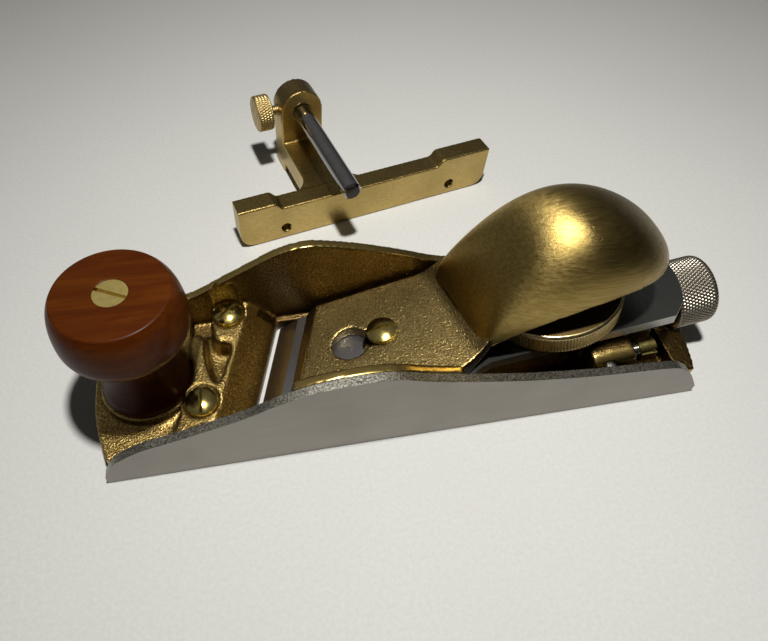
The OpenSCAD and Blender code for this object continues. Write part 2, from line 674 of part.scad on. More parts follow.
// The flat front of the cap, its rising neck and its skewed, bevelled front edge. The neck
// is a sheet that lifts off the blade, and it slants as the dome's front does.
module cap_front() {
    neck_c = cap_bottom + cap_neck_t;
    under_c = cap_bottom + cap_neck_t / 3;
    top = spline([[cap_setback - 9, cap_front_c], [cap_setback + 4, cap_front_c],
        [cap_screw_a - 10, cap_front_c + 0.4], [cap_screw_a + 3, cap_front_c + 1.4],
        [cap_neck_a, neck_c - 1.1], [cap_crease_a, neck_c], [cap_back_a, neck_c + cap_lift]]);
    under = spline([[cap_back_a, under_c + cap_lift + 0.6], [cap_crease_a, under_c], [cap_neck_a, cap_bottom]]);
    neck_near = spline([[cap_neck_a - 6, cap_near_b], [cap_neck_a + 2, cap_near_b + 0.1],
        [cap_crease_a - 1, cap_near_b + 1.3], [cap_crease_a + 3, cap_near_b + 3.2],
        [cap_back_a, cap_near_b + 4.6], [cap_back_a + 4, cap_near_b + 5.4]]);
    neck_far = spline([[cap_back_a + 4, cap_far_b - 5], [cap_back_a, cap_far_b - 3.9],
        [cap_crease_a + 4, cap_far_b - 1.7], [cap_crease_a + 1, cap_far_b - 0.7],
        [cap_neck_a + 3, cap_far_b], [cap_neck_a - 6, cap_far_b]]);
    difference() {
        intersection() {
            multmatrix([[1, -cap_shear, 0, cap_shear * cap_b], [0, 1, 0, 0], [0, 0, 1, 0], [0, 0, 0, 1]])
                translate([0, cap_far_b + over, 0]) rotate([90, 0, 0])
                    linear_extrude(height = cap_far_b - cap_near_b + 2 * over)
                        polygon(concat([[cap_setback - 9, cap_bottom]], top, under));
            linear_extrude(height = 60)
                polygon(concat([[-10, cap_near_b]], neck_near, neck_far, [[-10, cap_far_b]]));
        }
        // Everything in front of the bevelled edge
        rotate([0, 0, -bed_skew]) translate([cap_setback * cos(bed_skew), 0, cap_bottom])
            rotate([0, 50, 0]) translate([-far, -far / 2, -far / 4]) cube([far, far, far / 2 + 80]);
    }
}

module lever_cap() {
    color([0.62, 0.5, 0.27]) difference() {
        union() {
            on_bed() cap_front();
            intersection() {
                dome(true);
                on_bed() translate([0, -far / 2, cap_bottom]) cube([far, far, far]);
            }
            // Boss for the spin wheel's stud, inside the dome
            intersection() {
                dome(false);
                on_bed() translate([wheel_a, cap_b, wheel_c + wheel_t + boss_gap]) cylinder(r = boss_r, h = 60);
            }
        }
        // Keyhole: the screw's head passes its round end and is held by its slot
        on_bed() {
            translate([cap_screw_a - cap_slide, cap_b, 0]) cylinder(r = keyhole_r, h = 20);
            translate([cap_screw_a - cap_slide, cap_b - cap_slot_r, 0]) cube([cap_slide, 2 * cap_slot_r, 20]);
            translate([cap_screw_a, cap_b, 0]) cylinder(r = cap_slot_r, h = 20);
            translate([wheel_a, cap_b, wheel_c]) cylinder(r = stud_r + fit, h = wheel_t + boss_gap + stud_len);
        }
    }
}

module lever_cap_screw() {
    seat_c = cap_front_c + 1.6;
    color([0.72, 0.58, 0.3]) on_bed() translate([cap_screw_a, cap_b, seat_c]) rotate([0, 0, 4])
        slotted_screw(cap_head_r, 2.6, cap_screw_r, seat_c + 5, 1.2);
}

module spin_wheel() {
    color([0.66, 0.52, 0.27]) on_bed() translate([wheel_a, cap_b, wheel_c]) {
        knurled_disc(wheel_r, wheel_t, 110, 0.45, 0.6);
        translate([0, 0, wheel_t - 0.5]) cylinder(r = stud_r, h = boss_gap + stud_len - 0.5);
        translate([0, 0, -0.2]) cylinder(r = 9, h = 1);
    }
}

module adjuster_knob() {
    hub = adj_front_a - adj_lug_a - adj_lug_len - seat;
    color([0.58, 0.55, 0.5]) difference() {
        union() {
            on_adjuster(adj_front_a) rotate_extrude($fn = 128)
                polygon([[0, 0], [adj_r - 0.8, 0], [adj_r, 0.8], [adj_r, adj_len - 0.8],
                    [adj_r - 0.8, adj_len], [0, adj_len]]);
            on_adjuster(adj_front_a - hub) cylinder(r = adj_screw_r + 2, h = hub + over);
        }
        on_adjuster(adj_front_a - hub - over) cylinder(r = adj_screw_r + fit, h = hub + over + adj_len - 2);
    }
}

module adjuster_screw() {
    front = carriage_a - feed_out - 4;
    color([0.66, 0.66, 0.66])
        on_adjuster(front) cylinder(r = adj_screw_r, h = adj_front_a + adj_len - 2.2 - front);
}

module adjuster_retainer() {
    color([0.7, 0.7, 0.7]) on_adjuster(adj_lug_a - seat - retainer_len) difference() {
        cylinder(r = retainer_r, h = retainer_len);
        translate([0, 0, -over]) cylinder(r = adj_screw_r + fit, h = retainer_len + 2 * over);
    }
}

module adjuster_carriage() {
    color([0.66, 0.54, 0.3]) difference() {
        union() {
            on_adjuster(carriage_a) cylinder(r = carriage_r, h = carriage_len);
            on_bed() translate([carriage_a, blade_b - carriage_w / 2, -adj_drop])
                cube([carriage_len, carriage_w, adj_drop - 0.3]);
            on_bed() translate([carriage_a + (carriage_len - tongue_len) / 2, blade_b - tongue_w / 2, -adj_drop])
                cube([tongue_len, tongue_w, adj_drop + tongue_top]);
        }
        on_adjuster(carriage_a - over) cylinder(r = adj_screw_r + fit, h = carriage_len + 2 * over);
    }
}

// A frame on the fence: x along the bar, y back from its face, z up
module on_fence() {
    translate(fence_pos) rotate([0, 0, fence_turn]) children();
}

// The facing bar seen from its face
module fence_bar_outline() {
    right = fence_left + fence_len;
    rise = fence_pad_z - fence_mid_z;
    difference() {
        polygon([[fence_left, 0], [right, 0], [right, fence_pad_z], [right - pad_right_len, fence_pad_z],
            [right - pad_right_len - rise, fence_mid_z], [fence_left + pad_left_len + rise, fence_mid_z],
            [fence_left + pad_left_len, fence_pad_z], [fence_left, fence_pad_z]]);
        for (side = [0, 1])
            translate([fence_left + side * fence_len, 0]) mirror([side, 0]) difference() {
                translate([-over, -over]) square(bar_corner_r + over);
                translate([bar_corner_r, bar_corner_r]) circle(r = bar_corner_r);
            }
        for (s = [hole_left_s, hole_right_s])
            translate([s, hole_z]) circle(r = facing_hole_r);
    }
}

// The arm seen from above, with round fillets into the bar
module fence_arm_outline() {
    left = rod_s - post_w / 2;
    right = rod_s + post_w / 2;
    translate([left, fence_t - over]) square([post_w, post_d - fence_t + over + 0.5]);
    difference() {
        translate([left - arm_fillet_r, fence_t - over])
            square([post_w + 2 * arm_fillet_r, arm_fillet_r + over]);
        for (s = [left - arm_fillet_r, right + arm_fillet_r])
            translate([s, fence_t + arm_fillet_r]) circle(r = arm_fillet_r);
    }
}

module fence() {
    color([0.68, 0.56, 0.31]) on_fence() difference() {
        union() {
            translate([0, fence_t, 0]) rotate([90, 0, 0]) linear_extrude(height = fence_t) fence_bar_outline();
            translate([0, 0, arm_bottom_z]) linear_extrude(height = arm_z - arm_bottom_z) fence_arm_outline();
            translate([rod_s - post_w / 2, post_d, 0]) cube([post_w, post_t, rod_z]);
            translate([rod_s, post_d, rod_z]) rotate([-90, 0, 0]) cylinder(r = post_w / 2, h = post_t);
        }
        translate([rod_s, 0, rod_z]) rotate([-90, 0, 0]) cylinder(r = rod_r + fit, h = 2 * post_d);
        translate([rod_s, post_d + post_t / 2, rod_z]) rotate([0, -90, 0])
            cylinder(r = thumb_screw_r + fit, h = post_w);
    }
}

module fence_rod() {
    color([0.8, 0.8, 0.8]) on_fence() translate([rod_s, rod_front_d, rod_z]) rotate([-90, 0, 0])
        rotate_extrude() polygon([[0, 0], [rod_r - 0.7, 0], [rod_r, 0.7],
            [rod_r, rod_len - 0.5], [rod_r - 0.5, rod_len], [0, rod_len]]);
}

module fence_thumb_screw() {
    shank = post_w / 2 + thumb_neck - rod_r - seat;
    color([0.66, 0.52, 0.27]) on_fence()
        translate([rod_s - post_w / 2 - thumb_neck, post_d + post_t / 2, rod_z]) rotate([0, -90, 0]) {
            knurled_disc(thumb_r, thumb_t, 36, 0.45, 0.5);
            translate([0, 0, -shank]) cylinder(r = thumb_screw_r, h = shank + over);
        }
}

body();
side_plate();
plate_pin_front();
plate_pin_rear();
plate_toe_screw();
rod_lock_screw();
plate_heel_screw();
knob();
knob_screw();
blade();
lever_cap();
lever_cap_screw();
spin_wheel();
adjuster_knob();
adjuster_screw();
adjuster_retainer();
adjuster_carriage();
fence();
fence_rod();
fence_thumb_screw();
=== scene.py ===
import math

import bmesh
import bpy
from mathutils import Matrix, Vector
from mathutils.bvhtree import BVHTree


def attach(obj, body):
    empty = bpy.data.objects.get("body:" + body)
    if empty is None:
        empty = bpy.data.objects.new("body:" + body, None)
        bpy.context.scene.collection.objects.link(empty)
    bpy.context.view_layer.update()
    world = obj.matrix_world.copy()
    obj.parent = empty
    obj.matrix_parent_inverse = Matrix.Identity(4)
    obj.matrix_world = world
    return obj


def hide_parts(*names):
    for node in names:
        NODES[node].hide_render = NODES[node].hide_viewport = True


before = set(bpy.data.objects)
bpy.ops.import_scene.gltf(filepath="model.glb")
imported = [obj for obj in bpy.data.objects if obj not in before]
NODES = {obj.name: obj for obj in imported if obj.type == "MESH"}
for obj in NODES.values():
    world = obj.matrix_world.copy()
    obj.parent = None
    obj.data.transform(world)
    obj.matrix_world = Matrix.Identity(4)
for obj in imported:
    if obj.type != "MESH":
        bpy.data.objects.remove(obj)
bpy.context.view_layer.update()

SCENE = bpy.context.scene

MM = 0.001
UP = Vector((0, 0, 1))
BLACK = (0, 0, 0)

# Camera, fitted to the photograph: millimetres, degrees from +Y clockwise, down and rolled
CAMERA_PLACE = Vector((-39.7, -100.3, 159.7))
CAMERA_AZIMUTH, CAMERA_ELEVATION, CAMERA_ROLL = 10.51, 53.8, 0.64
CAMERA_SENSOR, CAMERA_LENS = 36, 28.36
CAMERA_SHIFT = (0.0712, 0.0189)
CAMERA_CLIP = 0.005

# Lamp: a small near one, placed from the photograph's shadows, in metres and watts
LAMP_PLACE, LAMP_TARGET = Vector((-0.015, -0.027, 0.37)), Vector((0.10, 0.045, 0))
LAMP_SIZE, LAMP_POWER, LAMP_COLOUR = 0.026, 1.58, (1, 0.985, 0.945)

# World: brightest toward one direction; surfaces reflect more of it than lights them
ROOM_BRIGHT_WAY = (-0.24, 0.34, 0.91)
ROOM_DARK, ROOM_LIGHT, ROOM_LIGHT_FROM = (0.04, 0.036, 0.03), (1, 0.98, 0.95), 0.95
ROOM_REFLECTED, ROOM_DIFFUSE = 0.2, 0.045

# Floor, in metres: it passes into the backdrop's colour outside the photograph's view
BACKDROP = (0.46, 0.46, 0.44)
FLOOR_HALF, FLOOR_DROP = 1.6, 0.0002
FLOOR_FADE = (0.335, 0.5)

# Sizes of the CAD source, in millimetres and degrees
MOUTH_X = -40.5
BED_ANGLE, SKEW_ANGLE = math.radians(12), math.radians(18)
BED_RISE = math.cos(SKEW_ANGLE) * math.tan(BED_ANGLE)
BED_FALL = math.sin(SKEW_ANGLE) * math.tan(BED_ANGLE)
BED_PITCH = math.atan(BED_RISE)
BED_ROLL = -math.asin(BED_FALL / math.sqrt(1 + BED_RISE ** 2 + BED_FALL ** 2))
KNOB_X = -74.2
TOE_SCREW_AT, LOCK_SCREW_AT = (-59.1, -11.2), (-49.5, 18.6)
HEEL_SCREW_PLACE, HEEL_SCREW_AXIS = Vector((52, -17.6, 14.2)), Vector((0.980173, 0, 0.198145))
THUMB_SCREW_PLACE = Vector((-26.529, 103.372, 25))
THUMB_SCREW_AXIS = Vector((-0.978509, -0.206204, 0))
ROD_FRONT = Vector((0.2062, -0.9785, 0))
WHEEL_ON_BED = (88.5, 1.4, 3.6)
ADJUSTER_ON_BED = (125.6, 2.15, -10.85)

# Voxel sizes of the remeshed castings
FINE_VOXEL, BODY_VOXEL = 0.42, 0.5


# Camera and light

def look_matrix(place, azimuth, elevation, roll):
    """The camera's matrix, for a view along azimuth (0 is +Y, clockwise) and down by elevation."""
    az, el, ro = (math.radians(v) for v in (azimuth, elevation, roll))
    forward = Vector((math.sin(az) * math.cos(el), math.cos(az) * math.cos(el), -math.sin(el)))
    right = Vector((math.cos(az), -math.sin(az), 0))
    up = right.cross(forward)
    side = math.cos(ro) * right + math.sin(ro) * up
    top = -math.sin(ro) * right + math.cos(ro) * up
    turn = Matrix((side, top, -forward)).transposed().to_4x4()
    return Matrix.Translation(place) @ turn


def make_camera():
    """A camera at the photograph's viewing angle."""
    data = bpy.data.cameras.new("photo_camera")
    data.sensor_width = CAMERA_SENSOR
    data.lens = CAMERA_LENS
    data.shift_x, data.shift_y = CAMERA_SHIFT
    data.clip_start = CAMERA_CLIP
    camera = bpy.data.objects.new("photo_camera", data)
    camera.matrix_world = look_matrix(CAMERA_PLACE * MM, CAMERA_AZIMUTH, CAMERA_ELEVATION,
                                      CAMERA_ROLL)
    SCENE.collection.objects.link(camera)
    SCENE.camera = camera


def make_lamp():
    """The one lamp, a soft disc that isn't seen itself."""
    data = bpy.data.lights.new("key_lamp", "AREA")
    data.shape = "DISK"
    data.size = LAMP_SIZE
    data.energy = LAMP_POWER
    data.color = LAMP_COLOUR
    lamp = bpy.data.objects.new("key_lamp", data)
    lamp.location = LAMP_PLACE
    lamp.rotation_euler = (LAMP_TARGET - LAMP_PLACE).to_track_quat("-Z", "Y").to_euler()
    lamp.visible_camera = False
    SCENE.collection.objects.link(lamp)


def make_world():
    """A room for surfaces to reflect, and a pale backdrop that only the camera sees."""
    world = bpy.data.worlds.new("studio")
    world.use_nodes = True
    nodes, links = world.node_tree.nodes, world.node_tree.links
    room = nodes["Background"]
    where = nodes.new("ShaderNodeTexCoord")
    toward = nodes.new("ShaderNodeVectorMath")
    toward.operation = "DOT_PRODUCT"
    toward.inputs[1].default_value = ROOM_BRIGHT_WAY
    ramp = nodes.new("ShaderNodeValToRGB")
    low, high = ramp.color_ramp.elements
    low.position, low.color = 0.0, (*ROOM_DARK, 1)
    high.position, high.color = ROOM_LIGHT_FROM, (*ROOM_LIGHT, 1)
    path = nodes.new("ShaderNodeLightPath")
    level = nodes.new("ShaderNodeMapRange")
    level.inputs["To Min"].default_value = ROOM_REFLECTED
    level.inputs["To Max"].default_value = ROOM_DIFFUSE
    backdrop = nodes.new("ShaderNodeBackground")
    backdrop.inputs["Color"].default_value = (*BACKDROP, 1)
    pick = nodes.new("ShaderNodeMixShader")
    links.new(where.outputs["Generated"], toward.inputs[0])
    links.new(toward.outputs["Value"], ramp.inputs[0])
    links.new(ramp.outputs[0], room.inputs["Color"])
    links.new(path.outputs["Is Diffuse Ray"], level.inputs["Value"])
    links.new(level.outputs[0], room.inputs["Strength"])
    links.new(path.outputs["Is Camera Ray"], pick.inputs[0])
    links.new(room.outputs[0], pick.inputs[1])
    links.new(backdrop.outputs[0], pick.inputs[2])
    links.new(pick.outputs[0], nodes["World Output"].inputs["Surface"])
    SCENE.world = world


# Materials

def shade(colour, factor):
    """A darker or lighter colour."""
    return [factor * v for v in colour]


class Shader:
    """A material's node tree, with short calls for the nodes used here."""

    def __init__(self, name):
        self.material = bpy.data.materials.new(name)
        self.material.use_nodes = True
        self.nodes = self.material.node_tree.nodes
        self.links = self.material.node_tree.links
        self.main = self.nodes["Principled BSDF"]

    def node(self, kind, inputs=None, **settings):
        made = self.nodes.new("ShaderNode" + kind)
        for key, value in settings.items():
            setattr(made, key, value)
        for key, value in (inputs or {}).items():
            self.feed(made.inputs[key], value)
        return made

    def feed(self, socket, value):
        if isinstance(value, bpy.types.NodeSocket):
            self.links.new(value, socket)
        else:
            socket.default_value = value

    def set(self, **inputs):
        """Sets or links the shader's own sockets, named with _ for a space."""
        for key, value in inputs.items():
            self.feed(self.main.inputs[key.replace("_", " ")], value)

    def place(self, scale=(1, 1, 1)):
        """Object coordinates in millimetres, scaled."""
        where = self.node("TexCoord").outputs["Object"]
        return self.node("Mapping", {"Vector": where, "Scale": shade(scale, 1 / MM)}).outputs[0]

    def coordinate(self, axis):
        """One of the object coordinates, in metres."""
        where = self.node("TexCoord").outputs["Object"]
        return self.node("SeparateXYZ", {"Vector": where}).outputs[axis]

    def noise(self, where, scale, detail=3, rough=0.5, distortion=0.0):
        inputs = {"Vector": where, "Scale": scale, "Detail": detail, "Roughness": rough,
                  "Distortion": distortion}
        return self.node("TexNoise", inputs).outputs["Fac"]

    def cells(self, where, scale):
        inputs = {"Vector": where, "Scale": scale, "Smoothness": 0.6}
        return self.node("TexVoronoi", inputs, feature="SMOOTH_F1").outputs["Distance"]

    def ramp(self, value, stops):
        """A colour from (value, colour) stops."""
        made = self.node("ValToRGB", {"Fac": value})
        points = made.color_ramp.elements
        while len(points) < len(stops):
            points.new(0.5)
        for point, (at, colour) in zip(points, stops):
            point.position = at
            point.color = (*colour, 1)
        return made.outputs[0]

    def span(self, value, low, high, to_low, to_high):
        """The value, with low to high drawn out to to_low to to_high, and no further."""
        inputs = {"Value": value, "From Min": low, "From Max": high,
                  "To Min": to_low, "To Max": to_high}
        return self.node("MapRange", inputs).outputs[0]

    def math(self, operation, a, b):
        return self.node("Math", {0: a, 1: b}, operation=operation).outputs[0]

    def add(self, a, b):
        return self.math("ADD", a, b)

    def times(self, a, b):
        return self.math("MULTIPLY", a, b)

    def mix(self, factor, a, b):
        """Colour a where the factor is 0, b where it is 1."""
        inputs = {0: factor}
        for key, value in ((6, a), (7, b)):
            inputs[key] = value if isinstance(value, bpy.types.NodeSocket) else (*value, 1)
        return self.node("Mix", inputs, data_type="RGBA").outputs[2]

    def bump(self, height, strength, distance_mm, normal=None):
        inputs = {"Height": height, "Strength": strength, "Distance": distance_mm * MM}
        if normal is not None:
            inputs["Normal"] = normal
        return self.node("Bump", inputs).outputs[0]

    def normal(self):
        return self.node("NewGeometry").outputs["Normal"]

    def facing(self, axis):
        """How far the surface looks along an axis, -1 to 1."""
        return self.node("SeparateXYZ", {"Vector": self.normal()}).outputs[axis]

    def toward(self, way):
        """How far the surface looks along a direction, -1 to 1."""
        inputs = {0: self.normal(), 1: way}
        return self.node("VectorMath", inputs, operation="DOT_PRODUCT").outputs["Value"]

    def hollow(self):
        """0 on outer edges, 0.5 on flat places and 1 in corners, as smooth() measured it."""
        return self.node("Attribute", attribute_name="hollow").outputs["Fac"]


def cast_bronze(name, dark, middle, light, bump=0.5, worn=(0.50, 0.34, 0.35), patina_and_shade=None):
    """Sand-cast bronze with a leathery skin, darker in the grain and in corners.

    worn gives the values of hollow between which an edge wears bright, and how much it does.
    The last argument is one colour. It is laid on as the old skin's patina at the heel, and as
    painted shade on faces that look toward the near side (-Y) and on all that lies low down.
    """
    s = Shader(name)
    where = s.place()
    grain = s.add(s.times(s.noise(where, 2.1, 4, 0.6, 0.6), 0.7),
                  s.times(s.cells(where, 1.8), 0.35))
    tone = s.noise(where, 0.1)
    colour = s.ramp(grain, [(0.34, dark), (0.48, middle), (0.62, light)])
    colour = s.mix(s.span(tone, 0.38, 0.7, 0, 0.4), colour, dark)
    deep = s.add(s.hollow(), s.times(s.noise(where, 0.5), 0.16))
    colour = s.mix(s.span(deep, 0.62, 0.86, 0, 0.85), colour, shade(dark, 0.3))
    wear_from, wear_full, wear = worn
    edge = s.span(deep, wear_from, wear_full, 0, wear)
    colour = s.mix(edge, colour, shade(light, 1.1))
    if patina_and_shade:
        heel = s.add(s.coordinate("X"), s.times(s.noise(where, 0.3, 4), 0.04))
        colour = s.mix(s.span(heel, 0.064, 0.072, 0, 0.85), colour, patina_and_shade)
        # Painted shade: faces that look toward -Y, such as the far wall's inside, are darkened.
        colour = s.mix(s.span(s.facing("Y"), -0.4, -0.95, 0, 0.6), colour, patina_and_shade)
        # Painted shade low down: fully below 4.5 mm, fading out by 7.5 mm.
        colour = s.mix(s.span(s.coordinate("Z"), 0.0045, 0.0075, 0.8, 0), colour, patina_and_shade)
    rough = s.math("SUBTRACT", s.span(grain, 0.3, 0.65, 0.42, 0.27), s.times(edge, 0.08))
    s.set(Base_Color=colour, Metallic=1.0, Roughness=rough, Normal=s.bump(grain, bump, 0.35))
    return s.material


def brushed_bronze(name, lines, dark, light, rough=(0.27, 0.4)):
    """Bronze with fine brush marks along one direction and a slow change of tone."""
    s = Shader(name)
    hair = s.noise(s.place(lines), 1.0, 5, 0.65)
    tone = s.noise(s.place(), 0.07)
    pits = s.noise(s.place(), 1.6, 2)
    colour = s.mix(s.span(hair, 0.3, 0.7, 0, 1), dark, light)
    colour = s.mix(s.span(tone, 0.4, 0.72, 0, 0.45), colour, shade(dark, 0.6))
    colour = s.mix(s.span(pits, 0.62, 0.72, 0, 0.3), colour, shade(dark, 0.5))
    colour = s.mix(s.span(s.hollow(), 0.62, 0.9, 0, 0.8), colour, shade(dark, 0.3))
    s.set(Base_Color=colour, Metallic=1.0, Roughness=s.span(hair, 0.3, 0.7, *rough),
          Normal=s.bump(hair, 0.2, 0.06))
    return s.material


def polished_dome():
    """Bronze brushed along its length, so that light spreads across it."""
    s = Shader("brushed_dome")
    hair = s.noise(s.place((0.045, 1.0, 1.4)), 1.0, 6, 0.8)
    tone = s.noise(s.place(), 0.07)
    colour = s.mix(s.span(hair, 0.36, 0.64, 0, 1), (0.28, 0.195, 0.055), (0.52, 0.38, 0.13))
    colour = s.mix(s.span(tone, 0.4, 0.72, 0, 0.35), colour, (0.24, 0.16, 0.045))
    colour = s.mix(s.span(s.hollow(), 0.62, 0.9, 0, 0.8), colour, (0.10, 0.06, 0.02))
    across = s.node("VectorMath", {0: s.normal(), 1: (1, 0, 0)}, operation="CROSS_PRODUCT")
    s.set(Base_Color=colour, Metallic=1.0, Roughness=s.span(hair, 0.3, 0.7, 0.27, 0.36),
          Anisotropic=0.8, Tangent=across.outputs[0], Normal=s.bump(hair, 0.6, 0.2))
    return s.material


def ground_plate():
    """Ground steel, with a rougher, speckled edge where it looks up."""
    s = Shader("ground_plate")
    dark, light = (0.25, 0.23, 0.205), (0.33, 0.305, 0.275)
    hair = s.noise(s.place((0.06, 4.0, 4.0)), 1.0, 5, 0.6)
    tone = s.noise(s.place(), 0.06, 4)
    colour = s.mix(s.span(hair, 0.3, 0.7, 0, 1), dark, light)
    colour = s.mix(s.span(tone, 0.42, 0.7, 0, 0.3), colour, shade(dark, 0.7))
    speck = s.noise(s.place(), 2.2, 4, 0.75)
    rim = s.ramp(speck, [(0.42, (0.07, 0.068, 0.055)), (0.62, (0.42, 0.40, 0.34))])
    up = s.span(s.facing("Z"), 0.25, 0.5, 0, 1)
    normal = s.bump(s.times(speck, up), 0.55, 0.25, s.bump(hair, 0.12, 0.04))
    s.set(Base_Color=s.mix(up, colour, rim), Metallic=1.0,
          Roughness=s.span(hair, 0.3, 0.7, 0.3, 0.45), Normal=normal)
    return s.material


def blade_steel():
    """Blade: a dark ground face, a tan bevel whose colour is a painted reflection of the bronze
    around it, and bright ground sides.
    """
    s = Shader("blade_steel")
    side, bevel_reflection = (0.46, 0.455, 0.43), (0.46, 0.39, 0.28)
    front, tail = (0.29, 0.29, 0.31), (0.115, 0.12, 0.11)
    hair = s.noise(s.place((3.0, 0.08, 3.0)), 1.0, 5, 0.6)
    up = s.toward(bed_frame(0, 0, 0).to_3x3() @ UP)
    colour = s.mix(s.span(s.coordinate("X"), -0.005, 0.02, 0, 1), front, tail)
    # Painted reflection: the bevel takes the tan of the bronze it mirrors.
    colour = s.mix(s.span(up, 0.965, 0.99, 0, 1), bevel_reflection, colour)
    colour = s.mix(s.span(up, 0.3, 0.6, 0, 1), side, colour)
    colour = s.mix(s.span(hair, 0.35, 0.7, 0, 0.35), colour, (0.04, 0.04, 0.038))
    s.set(Base_Color=colour, Metallic=1.0, Roughness=s.span(hair, 0.3, 0.7, 0.28, 0.4),
          Normal=s.bump(hair, 0.12, 0.04))
    return s.material


def turned_metal(name, base, rough, wear=0.72):
    """Turned and handled metal with faint stains and fine scratches."""
    s = Shader(name)
    spots = s.noise(s.place(), 0.7, 4, 0.6)
    scratch = s.noise(s.place((1, 6, 6)), 1.2, 4, 0.7)
    colour = s.mix(s.span(spots, 0.4, 0.7, 0, 1), base, shade(base, wear))
    s.set(Base_Color=colour, Metallic=1.0,
          Roughness=s.span(spots, 0.3, 0.7, rough, rough + 0.16),
          Normal=s.bump(scratch, 0.1, 0.04))
    return s.material


def rod_steel():
    """Polished bar whose front end face is darkened with painted shade."""
    s = Shader("polished_rod")
    spots = s.noise(s.place(), 0.7, 4, 0.6)
    scratch = s.noise(s.place((5, 0.3, 5)), 1.2, 4, 0.7)
    colour = s.mix(s.span(spots, 0.4, 0.7, 0, 1), (0.34, 0.335, 0.335), (0.27, 0.265, 0.26))
    # Painted shade: the front end face is darkened to near black.
    end = s.span(s.toward(ROD_FRONT), 0.85, 0.95, 0, 1)
    s.set(Base_Color=s.mix(end, colour, (0.05, 0.045, 0.04)), Metallic=1.0,
          Roughness=s.span(spots, 0.3, 0.7, 0.06, 0.12), Normal=s.bump(scratch, 0.05, 0.04))
    return s.material


def cherry_wood():
    """Oiled reddish wood: stretched growth lines, fine pores and a thin worn finish."""
    s = Shader("cherry_wood")
    rings = s.noise(s.place((0.12, 1, 1)), 0.3, 4, 0.55, 0.7)
    fine = s.noise(s.place((0.08, 3.0, 3.0)), 1.1, 4, 0.6)
    colour = s.ramp(rings, [(0.3, (0.05, 0.0095, 0.0008)), (0.5, (0.068, 0.0145, 0.001)),
                            (0.7, (0.09, 0.022, 0.0015))])
    colour = s.mix(s.span(fine, 0.46, 0.7, 0, 0.5), colour, (0.03, 0.006, 0.0006))
    s.set(Base_Color=colour, Roughness=s.span(fine, 0.3, 0.7, 0.3, 0.38),
          Specular_IOR_Level=0.1, Normal=s.bump(fine, 0.12, 0.05))
    return s.material


def table_cloth():
    """Pale cloth that passes into the backdrop's colour far from the object."""
    s = Shader("table_cloth")
    fine = s.noise(s.place(), 0.9, 4)
    wave = s.noise(s.place(), 0.012)
    colour = s.mix(s.span(fine, 0.3, 0.7, 0, 1), (0.635, 0.635, 0.61), (0.70, 0.70, 0.675))
    colour = s.mix(s.span(wave, 0.35, 0.7, 0, 0.3), colour, (0.61, 0.61, 0.59))
    where = s.node("TexCoord").outputs["Object"]
    away = s.node("VectorMath", {0: where}, operation="LENGTH").outputs["Value"]
    far = s.times(s.span(away, *FLOOR_FADE, 0, 1),
                  s.node("LightPath").outputs["Is Camera Ray"])
    s.set(Base_Color=s.mix(far, colour, BLACK), Roughness=0.85, Normal=s.bump(fine, 0.12, 0.12),
          Emission_Color=(*BACKDROP, 1), Emission_Strength=far)
    return s.material


# Shapes

def bed_frame(a, b, c):
    """The bed's frame moved to a place on it: x along the blade, y across it, z up from it."""
    turn = Matrix.Rotation(-BED_PITCH, 4, "Y") @ Matrix.Rotation(BED_ROLL, 4, "X")
    mouth = Matrix.Translation(Vector((MOUTH_X, 0, 0)))
    return mouth @ turn @ Matrix.Translation(Vector((a, b, c)))


def turned_to(axis):
    """The turn that brings z to an axis."""
    return UP.rotation_difference(axis).to_matrix().to_4x4()


def dome_point(s, r):
    """A point of the dome's outside, as the CAD source states it; s along it, r across it."""
    c = math.cos(s)
    blunt = max(c, 0) ** 2
    x = MOUTH_X + 84.6 - 27.3 * c
    w = (18 + 0.4 * c + 3.3 * c * c) * math.sin(s) ** (0.9 - 0.67 * blunt)
    h = (19.4 + 11.4 * c - 0.7 * c * c - 2.8 * c ** 3) * math.sin(s) ** (0.92 - 0.14 * blunt)
    rim = (x - MOUTH_X) * BED_RISE - 2.1 * BED_FALL + 21.7 - 4.4 * c - 7.9 * c * c
    side = w * math.copysign(abs(math.cos(r)) ** (2 / 2.3), math.cos(r))
    up = h * max(math.sin(r), 0) ** (2 / 2.3)
    return Vector((x - 0.18 * side * (1 + c) / 2, 2.1 + side, rim + up))


def dome_tree(rings=220, sides=140):
    """The dome's outside as a fine surface to measure and snap to."""
    points = [dome_point(math.radians(2 + 176 * i / rings), math.pi * j / sides) * MM
              for i in range(rings + 1) for j in range(sides + 1)]
    row = sides + 1
    faces = [(i * row + j, i * row + j + 1, (i + 1) * row + j + 1, (i + 1) * row + j)
             for i in range(rings) for j in range(sides)]
    return BVHTree.FromPolygons(points, faces)


def remeshed(node, voxel):
    """A copy of a node's mesh in even small faces, so that its edges can be rounded."""
    source = bpy.data.objects.new("work", NODES[node].data.copy())
    SCENE.collection.objects.link(source)
    modifier = source.modifiers.new("remesh", "REMESH")
    modifier.mode = "VOXEL"
    modifier.voxel_size = voxel * MM
    modifier.adaptivity = 0
    bpy.context.view_layer.update()
    made = source.evaluated_get(bpy.context.evaluated_depsgraph_get())
    mesh = bpy.data.meshes.new_from_object(made)
    bpy.data.objects.remove(source)
    mesh.materials.clear()
    return mesh


def soften(mesh, inside, rounds, factor=0.5):
    """Rounds off the part of a mesh whose points are inside, as a casting's corners are."""
    bm = bmesh.new()
    bm.from_mesh(mesh)
    chosen = [v for v in bm.verts if inside(v.co / MM)]
    near = [[e.other_vert(v) for e in v.link_edges] for v in chosen]
    for _ in range(rounds):
        moved = [v.co.lerp(sum((n.co for n in ring), Vector()) / len(ring), factor)
                 for v, ring in zip(chosen, near)]
        for v, at in zip(chosen, moved):
            v.co = at
    bm.to_mesh(mesh)
    bm.free()


